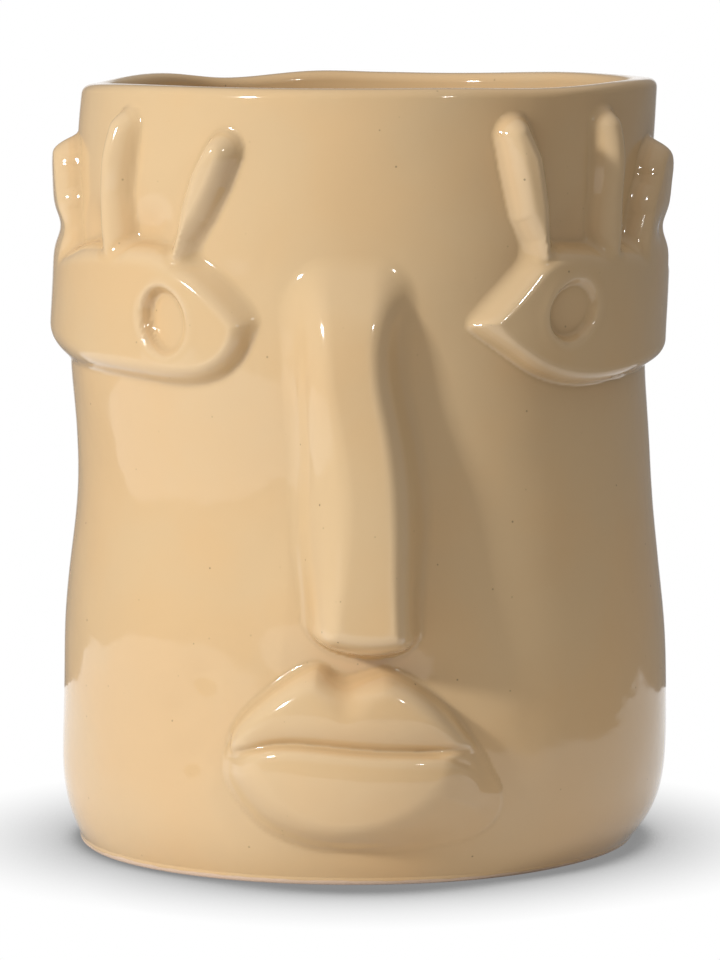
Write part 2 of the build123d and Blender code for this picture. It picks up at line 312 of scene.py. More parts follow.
# Nose: middle, half width of the front, depth, slope of the flanks and roundness of the edges, by height
NOSE_MIDDLE = [
    (60, 0.0), (72, -0.2), (85, -0.5), (110, -0.7), (125, -0.8), (140, -1.5), (158, -2.4), (168, -2.6),
    (190, -2.8),
]
NOSE_HALF_FRONT = [
    (60, 8.8), (72, 8.8), (85, 8.8), (110, 9.0), (125, 8.8), (140, 8.2), (158, 8.4), (168, 10.2), (190, 13.0),
]
NOSE_DEPTH = [
    (60, 19.4), (72, 19.2), (86, 18.4), (100, 17.0), (120, 14.8), (140, 12.8), (150, 11.6), (158, 10.0),
    (165, 7.2), (171, 2.8), (178, -4.4), (188, -14.0), (210, -33.0),
]
NOSE_SLOPE_LEFT = [(60, 3.0), (75, 2.9), (92, 2.1), (120, 1.6), (150, 1.4), (165, 1.1), (190, 0.9)]
NOSE_SLOPE_RIGHT = [(60, 3.1), (75, 3.0), (92, 2.4), (120, 1.95), (150, 1.8), (165, 1.3), (190, 0.9)]
NOSE_EDGE_ROUND_LEFT = [(60, 10.5), (125, 10.5), (150, 6.0), (190, 6.0)]
NOSE_EDGE_ROUND_RIGHT = 6.0
NOSE_BOTTOM = 76.6
NOSE_BOTTOM_TILT = -0.07
NOSE_BOTTOM_SMILE = 0.018
NOSE_BOTTOM_DEPTH = 19.0
NOSE_BOTTOM_ROUND = 10.0
NOSE_BOTTOM_TURN = 3.4
NOSE_FILLET = 6.0

# The swelling of the wall round the nose's lower end
WING_MIDDLE = (-0.6, 81.0)
WING_HALF_SIZE = (36.0, 27.0)
WING_HEIGHT = 2.2

# Mouth: the foot of both lips together, and the full front of the lower lip
MOUTH_OUTLINE = rounded_outline([
    (-38.8, 41.0), (-38.0, 45.5), (-34.6, 50.4), (-29.6, 55.2), (-23.6, 60.2), (-17.6, 64.4), (-13.0, 66.2),
    (-9.4, 65.2), (-6.8, 63.4), (-5.0, 62.8), (-2.6, 63.2), (1.8, 64.2), (6.4, 64.6), (11.8, 62.2),
    (18.0, 57.8), (24.0, 52.0), (28.6, 45.8), (31.8, 41.0), (35.0, 35.0), (39.2, 28.0), (39.6, 22.0),
    (36.6, 16.4), (31.0, 13.0), (22.0, 11.2), (8.0, 9.9), (-2.0, 9.6), (-12.0, 10.0), (-21.0, 12.2),
    (-29.2, 16.2), (-36.2, 23.6), (-40.6, 30.5), (-40.6, 36.0),
])
LOWER_LIP_FRONT = rounded_outline([
    (-29.0, 43.0), (-28.8, 36.0), (-27.8, 32.8), (-24.8, 27.0), (-20.6, 22.7), (-12.6, 18.3), (-3.5, 16.9),
    (5.4, 18.9), (14.2, 24.3), (19.6, 30.0), (22.5, 36.4), (22.9, 43.0),
])
MOUTH_INSET = 1.4
MOUTH_MIDDLE = -3.4
MOUTH_REACH = 40.0
MOUTH_FILLET = 2.8
MOUTH_FILLET_TOP = 2.0
MOUTH_FILLET_RISE = (30.0, 55.0)
LIP_HEIGHT = [
    (8, 6.6), (17, 9.8), (26, 11.7), (34, 12.2), (41, 11.2), (47, 11.2), (55, 10.4), (62, 9.0), (68, 7.8),
]
LIP_CORNER_LOSS = 0.5
LIP_CHANGE = (-2.5, 2.0)
UPPER_LIP_EDGE = 8.5
UPPER_LIP_BULGE = 3.6
LOWER_LIP_SHOULDER = 3.5
LOWER_LIP_BULGE = 2.0
LOWER_LIP_LEAST_FLANK = 0.1
LIP_FALL = 2.0

# The notch in the middle of the upper lip
PHILTRUM_DEPTH = 3.4
PHILTRUM_MIDDLE = -4.6
PHILTRUM_WIDTH = (2.4, 6.8)
PHILTRUM_RISE = (47.5, 63.5)

# The crease between the lips, and the fold in its right end
CREASE = [
    (-60, 38.6), (-36, 39.6), (-32.5, 40.0), (-24, 42.2), (-17, 42.8), (-8, 42.2), (4, 41.1), (15, 40.7),
    (27, 40.7), (60, 40.2),
]
CREASE_HALF_LENGTH = 32.0
CREASE_DEPTH = 3.8
CREASE_ABOVE = 4.0
CREASE_BELOW = 1.5
CREASE_FADE_POWER = 4
FOLD = [(4, 40.8), (9, 40.1), (17.9, 39.0), (23.9, 37.1), (29.1, 34.4), (34, 31.4)]
FOLD_START = (6.0, 18.0)
FOLD_END = (24.0, 31.0)
FOLD_DEPTH = 0.6
FOLD_WIDTH = 1.0

# How far each form can reach: beyond these lines it is not worked out
EYE_NEAR_S = 15.0
EYE_NEAR_Z = 125.0
NOSE_NEAR_S = 60.0
NOSE_NEAR_Z = 50.0
MOUTH_NEAR_S = 60.0
MOUTH_NEAR_Z = 80.0


def nose_height(s, z):
    """A block with sloping flanks, which turns under at its lower end."""
    aside = s - smooth_curve(NOSE_MIDDLE, z)
    slope = np.where(aside < 0, smooth_curve(NOSE_SLOPE_LEFT, z), smooth_curve(NOSE_SLOPE_RIGHT, z))
    beside = slope * (np.abs(aside) - smooth_curve(NOSE_HALF_FRONT, z))
    bottom = NOSE_BOTTOM + NOSE_BOTTOM_TILT * s + NOSE_BOTTOM_SMILE * aside ** 2
    below = np.maximum(bottom - z, 0) / NOSE_BOTTOM_ROUND
    edge_round = np.where(aside < 0, smooth_curve(NOSE_EDGE_ROUND_LEFT, z), NOSE_EDGE_ROUND_RIGHT)
    flanks = blend_high(beside, 0 * s, edge_round)
    return smooth_curve(NOSE_DEPTH, z) - np.hypot(flanks, NOSE_BOTTOM_DEPTH * below ** NOSE_BOTTOM_TURN)


def wing_height(s, z):
    """A low swelling of the wall on both sides of the nose's lower end."""
    across = (s - WING_MIDDLE[0]) / WING_HALF_SIZE[0]
    along = (z - WING_MIDDLE[1]) / WING_HALF_SIZE[1]
    return WING_HEIGHT * (1 - np.clip(across ** 2 + along ** 2, 0, 1)) ** 2


def crease_line(s):
    return smooth_curve(CREASE, s)


def mouth_distance(s, z):
    return outline_distance(s, z, MOUTH_OUTLINE) + MOUTH_INSET


def mouth_height(s, z):
    """Both lips, with the crease between them, its fold and the notch above."""
    across = np.clip(np.abs(s - MOUTH_MIDDLE) / MOUTH_REACH, 0, 1)
    thickness = smooth_curve(LIP_HEIGHT, z) * (1 - LIP_CORNER_LOSS * across ** 2)
    above = z - crease_line(s)
    distance = mouth_distance(s, z)
    upper = pillow(distance, thickness, UPPER_LIP_EDGE, UPPER_LIP_BULGE)
    from_foot = np.maximum(-distance, 0)
    to_front = np.maximum(outline_distance(s, z, LOWER_LIP_FRONT) + LOWER_LIP_SHOULDER, 0)
    up_flank = from_foot / np.maximum(from_foot + to_front, LOWER_LIP_LEAST_FLANK)
    lower = thickness * (1 - (1 - up_flank) ** LOWER_LIP_BULGE) - LIP_FALL * np.maximum(distance, 0)
    lips = lower + (upper - lower) * ramp(above, *LIP_CHANGE)
    length = np.clip(np.abs(s - MOUTH_MIDDLE) / CREASE_HALF_LENGTH, 0, 1)
    fade = 1 - length ** CREASE_FADE_POWER
    groove = CREASE_DEPTH * np.where(above > 0, np.exp(-above / CREASE_ABOVE), bump(above, 0, CREASE_BELOW))
    fold_fade = ramp(s, *FOLD_START) * (1 - ramp(s, *FOLD_END))
    fold = FOLD_DEPTH * fold_fade * bump(z, smooth_curve(FOLD, s), FOLD_WIDTH)
    rise = ramp(z, *PHILTRUM_RISE)
    philtrum_width = PHILTRUM_WIDTH[0] + (PHILTRUM_WIDTH[1] - PHILTRUM_WIDTH[0]) * rise
    philtrum = PHILTRUM_DEPTH * rise * bump(s, PHILTRUM_MIDDLE, philtrum_width)
    return lips - fade * groove - fold - philtrum


def pupil_press(s, z, pupil, lean):
    """Depth of a pupil: a pit with a leaning floor and a low raised lip."""
    centre_s, centre_z, half_width, half_height, tilt = pupil
    across = (s - centre_s - tilt * (centre_z - z)) / half_width
    along = (z - centre_z) / half_height
    out = np.hypot(across, along)
    inside = 1 - ramp(out, PUPIL_FLOOR, 1.0)
    pit = inside * PUPIL_DEPTH * (1 + lean[0] * across + lean[1] * along)
    return pit - PUPIL_LIP * bump(out, *PUPIL_LIP_PLACE)


def pad_distance(s, z, outline):
    return outline_distance(s, z, outline) + EYE_INSET


def lash_place(s, z, name):
    distance, aside = finger_place(s, z, LASHES[name])
    return distance + LASH_INSET, aside


def in_valley(s, z):
    """1 in the middle of a thumb press between two lashes, 0 away from them all."""
    pressed = np.zeros(np.shape(s))
    for valley_s, valley_z, half_width, half_height in VALLEYS:
        pressed = pressed + bump(s, valley_s, half_width) * bump(z, valley_z, half_height)
    return pressed


def eye_height(s, z, outline, lashes, pupil, lean):
    """A pad and its lashes as one hand-like form. Each lash leans: its side towards the nose is lower."""
    inside = -pad_distance(s, z, outline)
    tilt = np.zeros(np.shape(s))
    for name in lashes:
        distance, aside = lash_place(s, z, name)
        inside = blend_high(inside, -distance, HAND_BLEND)
        tilt = tilt + np.sign(s) * aside * (1 - ramp(distance, 0, LASH_TILT_FADE))
    finger = ramp(z, *LASH_START)
    leaning = LASH_TILT * finger * (1 - ramp(np.abs(s), *LASH_TILT_END))
    height = smooth_curve(HAND_HEIGHT, z) * (1 + leaning * tilt)
    at_corner = 1 - ramp(np.abs(s), *EYE_CORNER_END)
    low = 1 - ramp(z, *EYE_LOW)
    far = np.where(s < 0, EYE_EDGE_FAR_LEFT, EYE_EDGE_FAR_RIGHT) * ramp(np.abs(s), *EYE_FAR) * low
    low_edge = np.where(s < 0, EYE_EDGE_LOW_LEFT * at_corner, EYE_EDGE_LOW_RIGHT) * low
    edge = EYE_EDGE + far + low_edge + EYE_EDGE_CORNER * at_corner
    edge = edge + (LASH_EDGE - edge) * finger
    edge = edge * (1 - VALLEY_EDGE_LOSS * in_valley(s, z))
    groove = ROOT_GROOVE * bump(z, *ROOT_GROOVE_PLACE) * ramp(np.abs(s), *ROOT_GROOVE_START)
    bulge = EYE_BULGE + (EYE_BULGE_CORNER - EYE_BULGE) * at_corner
    bulge = bulge + (LASH_BULGE - bulge) * finger
    return pillow(-inside, height, edge, bulge) - groove - pupil_press(s, z, pupil, lean)


LEFT_LASHES = [name for name in LASHES if "left" in name]
RIGHT_LASHES = [name for name in LASHES if "right" in name]


def near_only(height, s, z, near):
    """A height that is worked out only where it can matter, and lies far below the wall elsewhere."""
    out = np.full(np.shape(s), FAR_BELOW)
    out[near] = height(s[near], z[near])
    return out


def relief(s, z):
    """Height of the face above the plain wall."""
    s, z = np.broadcast_arrays(s, z)
    face = wing_height(s, z) - np.where(s < 0, VALLEY_DEPTH_LEFT, VALLEY_DEPTH_RIGHT) * in_valley(s, z)
    for press_s, press_z, depth, size in MOUTH_PRESSES:
        face = face - depth * bump(s, press_s, size) * bump(z, press_z, size)
    above_corner = (1 - ramp(np.abs(s), *EYE_CORNER_END)) * ramp(z, *EYE_LOW) * (1 - ramp(z, *LASH_START))
    eye_fillet = EYE_FILLET + EYE_FILLET_CORNER * above_corner
    mouth_fillet = MOUTH_FILLET + MOUTH_FILLET_TOP * ramp(z, *MOUTH_FILLET_RISE)
    parts = [
        (lambda a, b: eye_height(a, b, EYE_LEFT, LEFT_LASHES, PUPIL_LEFT, PUPIL_LEAN_LEFT),
         (s < -EYE_NEAR_S) & (z > EYE_NEAR_Z), eye_fillet),
        (lambda a, b: eye_height(a, b, EYE_RIGHT, RIGHT_LASHES, PUPIL_RIGHT, PUPIL_LEAN_RIGHT),
         (s > EYE_NEAR_S) & (z > EYE_NEAR_Z), eye_fillet),
        (nose_height, (np.abs(s) < NOSE_NEAR_S) & (z > NOSE_NEAR_Z), NOSE_FILLET),
        (mouth_height, (np.abs(s) < MOUTH_NEAR_S) & (z < MOUTH_NEAR_Z), mouth_fillet),
    ]
    for height, near, fillet in parts:
        face = blend_high(face, near_only(height, s, z, near), fillet)
    return face


def wall_radius(angle, z):
    """Radius of the plain wall, with its waves and dents."""
    radius = smooth_curve(WALL_RADIUS, z)
    for height, turns, length, phase in WALL_WAVES:
        radius = radius + height * np.sin(turns * angle + phase) * np.sin(2 * np.pi * z / length + 2 * phase)
    for dent_angle, dent_z, depth, size in WALL_DENTS:
        aside = 2 * np.sin((angle - dent_angle) / 2) * UNROLL_RADIUS
        radius = radius - depth * np.exp(-(aside ** 2 + (z - dent_z) ** 2) / size ** 2)
    return radius


def on_wall(angle, z, radius):
    """Points (x, y, z) at an angle, height and radius, with the wall's sideways drift."""
    x = smooth_curve(WALL_DRIFT, z) + radius * np.sin(angle)
    return np.stack([x, -radius * np.cos(angle), z + 0 * angle], axis=-1)


def face_surface(angle, z):
    return on_wall(angle, z, wall_radius(angle, z) + relief(UNROLL_RADIUS * angle, z))


def rim_top(angle):
    return VASE_HEIGHT + smooth_curve(RIM_HEIGHT, np.degrees(angle))


def rim_surface(angle, t):
    """The rim from the outer seat (t = 0) over the top (1 to 2) to the inner seat (t = 3)."""
    shoulder = rim_top(angle) - RIM_ROUND
    rise = np.clip(t, 0, 1)
    flat_start = 1 + RIM_ROUND_SHARE
    flat_end = 2 - RIM_ROUND_SHARE
    outer_turn = np.clip((t - 1) / RIM_ROUND_SHARE, 0, 1) * np.pi / 2
    across = np.clip((t - flat_start) / RIM_FLAT_SHARE, 0, 1)
    inner_turn = np.clip((t - flat_end) / RIM_ROUND_SHARE, 0, 1) * np.pi / 2
    fall = np.clip(t - 2, 0, 1)
    round_up = RIM_ROUND * (np.sin(outer_turn) + np.cos(inner_turn) - 1)
    crown = RIM_CROWN * 4 * across * (1 - across)
    z = RIM_SEAT + (shoulder - RIM_SEAT) * (rise - fall) + round_up + crown
    outer_z = np.minimum(z, shoulder)
    outer = wall_radius(angle, outer_z) + relief(UNROLL_RADIUS * angle, outer_z)
    inner = wall_radius(angle, outer_z) - WALL_THICKNESS
    flat = outer - inner - 2 * RIM_ROUND
    inward = RIM_ROUND * (1 - np.cos(outer_turn)) + flat * across + RIM_ROUND * np.sin(inner_turn)
    return on_wall(angle, z, outer - inward)


def foot_surface(angle, t):
    """The rounded foot edge, from the flat underside (t = 0) to the wall (t = 1)."""
    top_radius = wall_radius(angle, np.full(np.shape(angle), FOOT_ROUND))
    inset = smooth_curve(FOOT_INSET, np.degrees(angle))
    radius = top_radius - inset * (1 - np.sin(t * np.pi / 2))
    return on_wall(angle, FOOT_ROUND * (1 - np.cos(t * np.pi / 2)), radius)


def normals_of(surface, a, b, step_a, step_b):
    """Outward normals of a surface given by two parameters."""
    along = surface(a + step_a, b) - surface(a - step_a, b)
    up = surface(a, b + step_b) - surface(a, b - step_b)
    normal = np.cross(along, up)
    return normal / np.maximum(np.linalg.norm(normal, axis=-1, keepdims=True), TINY)


# The grid over the wall
front_half = np.arange(0, FRONT_ANGLE, FRONT_STEP)
back_count = int(round((math.pi - front_half[-1]) / BACK_STEP))
back_half = np.linspace(front_half[-1], math.pi, back_count + 1)[1:]
half_turn = np.concatenate([front_half, back_half])
ANGLES = np.concatenate([-half_turn[:0:-1], half_turn[:-1]])
COLUMNS = len(ANGLES)


def rows_between(start, end, step):
    """Heights from start up to, but without, end."""
    return np.linspace(start, end, max(2, int(round((end - start) / step)) + 1))[:-1]


HEIGHTS = np.concatenate([
    rows_between(FOOT_ROUND, FLOOR_TOP, ROW_STEP),
    rows_between(FLOOR_TOP, MOUTH_ROWS[0], ROW_STEP),
    rows_between(*MOUTH_ROWS, MOUTH_ROW_STEP),
    rows_between(MOUTH_ROWS[1], RIM_SEAT, ROW_STEP),
    [RIM_SEAT],
])
ROWS = len(HEIGHTS)
FLOOR_ROW = int(np.argmin(np.abs(HEIGHTS - FLOOR_TOP)))


def edge_functions():
    """For each face piece, a function of (s, z) that is negative inside it."""
    def lash_edge(name, pad):
        def edge(s, z):
            beyond_pad = -pad_distance(s, z, pad)
            return np.maximum(np.maximum(lash_place(s, z, name)[0], beyond_pad), z - LASH_TOP_LIMIT)
        return edge

    edges = {
        "eye_left": lambda s, z: pad_distance(s, z, EYE_LEFT),
        "eye_right": lambda s, z: pad_distance(s, z, EYE_RIGHT),
        "nose": lambda s, z: -nose_height(s, z),
        "upper_lip": lambda s, z: np.maximum(mouth_distance(s, z), crease_line(s) - z),
        "lower_lip": lambda s, z: np.maximum(mouth_distance(s, z), z - crease_line(s)),
    }
    for name in LASHES:
        edges[name] = lash_edge(name, EYE_LEFT if "left" in name else EYE_RIGHT)
    return edges


def snapped_grid(edges):
    """The grid with its nearest points moved onto the outlines of the face pieces, and which were moved."""
    angle = np.tile(ANGLES, (ROWS, 1))
    z = np.tile(HEIGHTS[:, None], (1, COLUMNS))
    held = np.zeros((ROWS, COLUMNS), bool)
    held[:FLOOR_ROW + 1] = True
    held[-1] = True
    on_edge = {}
    for name, edge in edges.items():
        value = edge(UNROLL_RADIUS * angle, z)
        best = np.full((ROWS, COLUMNS), SNAP_SHARE_BESIDE_HELD)
        move_angle = np.zeros((ROWS, COLUMNS))
        move_z = np.zeros((ROWS, COLUMNS))
        for down, right in ((0, 1), (1, 0)):
            here = (slice(0, ROWS - down), slice(0, COLUMNS - right))
            there = (slice(down, ROWS), slice(right, COLUMNS))
            crosses = value[here] * value[there] < 0
            share = np.where(crosses, value[here] / np.where(crosses, value[here] - value[there], 1), 0)
            for own, other, part in ((here, there, share), (there, here, 1 - share)):
                may_move = ~held[own] & ((part <= SNAP_SHARE) | held[other])
                nearer = crosses & may_move & (part < best[own])
                best[own] = np.where(nearer, part, best[own])
                step_angle = (angle[other] - angle[own]) * part
                step_z = (z[other] - z[own]) * part
                move_angle[own] = np.where(nearer, step_angle, move_angle[own])
                move_z[own] = np.where(nearer, step_z, move_z[own])
        moved = best < SNAP_SHARE_BESIDE_HELD
        angle = angle + np.where(moved, move_angle, 0)
        z = z + np.where(moved, move_z, 0)
        held |= moved
        on_edge[name] = moved
    return angle, z, on_edge


def ring_faces(start, rows):
    """Squares between rings of points that are stored row after row, facing out where the rows rise."""
    row, column = np.meshgrid(np.arange(rows - 1), np.arange(COLUMNS), indexing="ij")
    next_column = (column + 1) % COLUMNS
    faces = [row * COLUMNS + column, row * COLUMNS + next_column,
             (row + 1) * COLUMNS + next_column, (row + 1) * COLUMNS + column]
    return start + np.stack([part.ravel() for part in faces], axis=1)


def joined_ring_faces(lower, upper):
    """Squares between two rings given by the indices of their points."""
    return np.stack([lower, np.roll(lower, -1), np.roll(upper, -1), upper], axis=1)


def label_faces(angle, z, edges, on_edge):
    """Splits the grid's squares into triangles and names the piece that each belongs to."""
    index = ring_faces(0, ROWS)
    touched = np.zeros(ROWS * COLUMNS, bool)
    for moved in on_edge.values():
        touched |= moved.ravel()
    corner = touched[index]
    other_diagonal = corner[:, 1] & corner[:, 3] & ~(corner[:, 0] & corner[:, 2])
    first = np.where(other_diagonal[:, None], index[:, [0, 1, 3]], index[:, [0, 1, 2]])
    second = np.where(other_diagonal[:, None], index[:, [1, 2, 3]], index[:, [0, 2, 3]])
    triangles = np.concatenate([first, second])
    flat_angle = angle.ravel()[triangles]
    wraps = np.ptp(flat_angle, axis=1) > math.pi
    flat_angle[wraps] = np.where(flat_angle[wraps] < 0, flat_angle[wraps] + 2 * math.pi, flat_angle[wraps])
    middle_angle = flat_angle.mean(axis=1)
    middle_angle = np.where(middle_angle > math.pi, middle_angle - 2 * math.pi, middle_angle)
    middle_z = z.ravel()[triangles].mean(axis=1)
    label = np.where(middle_z < FLOOR_TOP, "base_slab", "body_wall").astype(object)
    for name, edge in edges.items():
        label[edge(UNROLL_RADIUS * middle_angle, middle_z) < 0] = name
    return triangles, label


def make_piece(name, positions, faces, point_normals, point_pool):
    """A mesh object from points in millimetres, with its own smooth normals and the pooling of its glaze."""
    used = np.unique(np.concatenate([face.ravel() for face in faces]))
    new_index = np.full(len(positions), -1)
    new_index[used] = np.arange(len(used))
    mesh = bpy.data.meshes.new(name + "_glazed")
    face_list = [face for group in faces for face in new_index[group].tolist()]
    mesh.from_pydata((positions[used] * MM).tolist(), [], face_list)
    mesh.validate()
    mesh.polygons.foreach_set("use_smooth", np.ones(len(mesh.polygons), bool))
    attribute = mesh.attributes.new("pool", "FLOAT", "POINT")
    attribute.data.foreach_set("value", point_pool[used].astype(np.float32))
    mesh.normals_split_custom_set_from_vertices(point_normals[used].tolist())
    mesh.update()
    piece = bpy.data.objects.new(name + "_glazed", mesh)
    bpy.context.scene.collection.objects.link(piece)
    return piece


def glaze_pool(angle, z):
    """How far the surface is hollow (above 0) or raised (below 0), where glaze gathers or thins."""
    s = UNROLL_RADIUS * angle
    here = relief(s, z)
    total = 0
    for reach in POOL_REACHES:
        around = relief(s + reach, z) + relief(s - reach, z) + relief(s, z + reach) + relief(s, z - reach)
        total = total + (around / 4 - here) / reach
    return np.clip(total, -1, 1)


def fused_surface():
    """The one surface that all pieces are cut from, with the name of each triangle's piece."""
    edges = edge_functions()
    angle, z, on_edge = snapped_grid(edges)
    triangles, label = label_faces(angle, z, edges, on_edge)
    top = face_surface(angle, z).reshape(-1, 3)
    normals = normals_of(face_surface, angle, z, SLOPE_STEP / UNROLL_RADIUS, SLOPE_STEP).reshape(-1, 3)
    pool = glaze_pool(angle, z).ravel()
    back = on_wall(angle, z, wall_radius(angle, z) - PIECE_BACK).reshape(-1, 3)
    dip = on_wall(angle, z, wall_radius(angle, z) - WALL_DIP).reshape(-1, 3)
    return triangles, label, top, normals, pool, back, dip


triangles, label, top, normals, pool, back, dip = fused_surface()
GRID_POINTS = ROWS * COLUMNS
pieces = {}


def make_face_piece(name):
    """One piece of the face: its own patch of the fused surface, closed behind against the wall."""
    own = triangles[label == name]
    other_face = triangles[(label != name) & (label != "body_wall") & (label != "base_slab")]
    beside_other = np.zeros(GRID_POINTS, bool)
    beside_other[other_face.ravel()] = True
    own_edges = {}
    for a, b, c in own.tolist():
        own_edges.update(dict.fromkeys([(a, b), (b, c), (c, a)]))
    border = [(start, end) for start, end in own_edges if (end, start) not in own_edges]
    on_border = np.zeros(GRID_POINTS, bool)
    on_border[[start for start, end in border]] = True
    shared = on_border & ~beside_other
    behind = np.where(shared, np.arange(GRID_POINTS), np.arange(GRID_POINTS) + GRID_POINTS)
    positions = np.concatenate([top, back])
    faces = [own, behind[own[:, ::-1]]]
    for start, end in border:
        side = [end, start, int(behind[start]), int(behind[end])]
        corners = list(dict.fromkeys(side))
        if len(corners) > 2:
            faces.append(np.array([corners]))
    both_normals = np.concatenate([normals, -normals])
    return make_piece(name, positions, faces, both_normals, np.concatenate([pool, pool]))


# The plain wall keeps the whole grid and dips under the pieces of the face
plain = (label == "body_wall") | (label == "base_slab")
shows = np.zeros(GRID_POINTS, bool)
shows[triangles[plain].ravel()] = True
outer = np.where(shows[:, None], top, dip)


def ring(surface, t):
    return surface(ANGLES, np.full(COLUMNS, float(t)))


def ring_normals(surface, t, step):
    return normals_of(surface, ANGLES, np.full(COLUMNS, float(t)), SLOPE_STEP / UNROLL_RADIUS, step)


def inner_surface(angle, z):
    """The inside of the wall, which curves in to the floor."""
    up = np.clip((z - FLOOR_TOP) / FLOOR_FILLET, 0, 1)
    fillet = FLOOR_FILLET * (1 - np.sqrt(np.clip(1 - (1 - up) ** 2, 0, 1)))
    return on_wall(angle, z, wall_radius(angle, z) - WALL_THICKNESS - fillet)


def make_body_wall():
    """The wall from the slab to the rim's seat, with its inside."""
    row_of = triangles.min(axis=1) // COLUMNS
    own = triangles[row_of >= FLOOR_ROW]
    curve = FLOOR_TOP + FLOOR_FILLET * (1 - np.cos(np.linspace(0, math.pi / 2, FILLET_RINGS)))
    straight = np.linspace(FLOOR_TOP + FLOOR_FILLET, RIM_SEAT, INSIDE_RINGS)
    inner_heights = np.concatenate([curve, straight[1:]])
    inside = [ring(inner_surface, height) for height in inner_heights]
    inside_normals = [-ring_normals(inner_surface, height, SLOPE_STEP) for height in inner_heights]
    positions = np.concatenate([outer] + inside)
    all_normals = np.concatenate([normals] + inside_normals)
    bare = np.zeros(len(positions) - GRID_POINTS)
    inner_rows = len(inner_heights)
    lowest_inside = GRID_POINTS + np.arange(COLUMNS)
    highest_inside = GRID_POINTS + (inner_rows - 1) * COLUMNS + np.arange(COLUMNS)
    lowest_outside = FLOOR_ROW * COLUMNS + np.arange(COLUMNS)
    highest_outside = (ROWS - 1) * COLUMNS + np.arange(COLUMNS)
    faces = [
        own,
        ring_faces(GRID_POINTS, inner_rows)[:, ::-1],
        joined_ring_faces(lowest_inside, lowest_outside),
        joined_ring_faces(highest_outside, highest_inside),
    ]
    return make_piece("body_wall", positions, faces, all_normals, np.concatenate([pool, bare]))


def make_base_slab():
    """The slab: its side, its rounded foot edge, its underside and the vase's floor."""
    row_of = triangles.min(axis=1) // COLUMNS
    own = triangles[row_of < FLOOR_ROW]
    foot_steps = np.linspace(0, 1, FOOT_RINGS)[:-1]
    foot = [ring(foot_surface, t) for t in foot_steps]
    foot_normals = [ring_normals(foot_surface, t, SLOPE_STEP_ROUND) for t in foot_steps]
    flat_shares = np.linspace(0, 1, FLAT_RINGS)[1:-1]
    under = [foot[0] * [share, share, 0] for share in flat_shares]
    floor_edge = ring(inner_surface, FLOOR_TOP)
    floor = [floor_edge * [share, share, 1] for share in np.append(flat_shares, 1.0)]
    middle_points = [[0.0, 0.0, 0.0], [0.0, 0.0, FLOOR_TOP]]
    middle_normals = [[0.0, 0.0, -1.0], [0.0, 0.0, 1.0]]
    positions = np.concatenate([outer] + under + foot + floor + [middle_points])
    down = np.tile([0.0, 0.0, -1.0], (len(under) * COLUMNS, 1))
    up = np.tile([0.0, 0.0, 1.0], (len(floor) * COLUMNS, 1))
    all_normals = np.concatenate([normals, down] + foot_normals + [up, middle_normals])
    start = GRID_POINTS
    below_rows = len(under) + len(foot)
    below = ring_faces(start, below_rows)
    last_foot = start + (below_rows - 1) * COLUMNS + np.arange(COLUMNS)
    floor_start = start + below_rows * COLUMNS
    floor_rows = len(floor)
    last_floor = floor_start + (floor_rows - 1) * COLUMNS + np.arange(COLUMNS)
    top_outside = FLOOR_ROW * COLUMNS + np.arange(COLUMNS)
    under_middle = len(positions) - 2
    floor_middle = len(positions) - 1
    first_under = start + np.arange(COLUMNS)
    first_floor = floor_start + np.arange(COLUMNS)
    under_fan = np.stack([np.roll(first_under, -1), first_under, np.full(COLUMNS, under_middle)], axis=1)
    floor_fan = np.stack([first_floor, np.roll(first_floor, -1), np.full(COLUMNS, floor_middle)], axis=1)
    faces = [
        own,
        below,
        joined_ring_faces(last_foot, np.arange(COLUMNS)),
        ring_faces(floor_start, floor_rows)[:, ::-1],
        joined_ring_faces(top_outside, last_floor),
        under_fan,
        floor_fan,
    ]
    bare = np.zeros(len(positions) - GRID_POINTS)
    return make_piece("base_slab", positions, faces, all_normals, np.concatenate([pool, bare]))


def make_rim_coil():
    """The coil from the wall's outer edge over the wavy top to its inner edge."""
    up = np.linspace(0, 1, RIM_OUTER_RINGS)
    over = np.linspace(1, 2, RIM_TOP_RINGS)
    down = np.linspace(2, 3, RIM_INNER_RINGS)
    steps = np.concatenate([up, over[1:], down[1:]])
    rings = [ring(rim_surface, t) for t in steps]
    seat_normals = normals[-COLUMNS:]
    rim_normals = [seat_normals] + [ring_normals(rim_surface, t, SLOPE_STEP_ROUND) for t in steps[1:]]
    positions = np.concatenate(rings)
    count = len(steps)
    first = np.arange(COLUMNS)
    last = (count - 1) * COLUMNS + np.arange(COLUMNS)
    faces = [ring_faces(0, count), joined_ring_faces(last, first)]
    return make_piece("rim_coil", positions, faces, np.concatenate(rim_normals), np.zeros(len(positions)))


for name in edge_functions():
    pieces[name] = make_face_piece(name)
pieces["body_wall"] = make_body_wall()
pieces["base_slab"] = make_base_slab()
pieces["rim_coil"] = make_rim_coil()


# Materials
def link(tree, source, target):
    tree.links.new(source, target)


def node(tree, kind, **settings):
    made = tree.nodes.new(kind)
    for name, value in settings.items():
        setattr(made, name, value)
    return made


def noise(tree, place, scale, detail):
    made = node(tree, "ShaderNodeTexNoise")
    made.inputs["Scale"].default_value = scale
    made.inputs["Detail"].default_value = detail
    link(tree, place, made.inputs["Vector"])
    return made.outputs["Fac"]


def between(tree, value, low, high, low_out, high_out, kind="SMOOTHSTEP"):
    made = node(tree, "ShaderNodeMapRange", interpolation_type=kind)
    made.inputs["From Min"].default_value = low
    made.inputs["From Max"].default_value = high
    made.inputs["To Min"].default_value = low_out
    made.inputs["To Max"].default_value = high_out
    link(tree, value, made.inputs["Value"])
    return made.outputs["Result"]


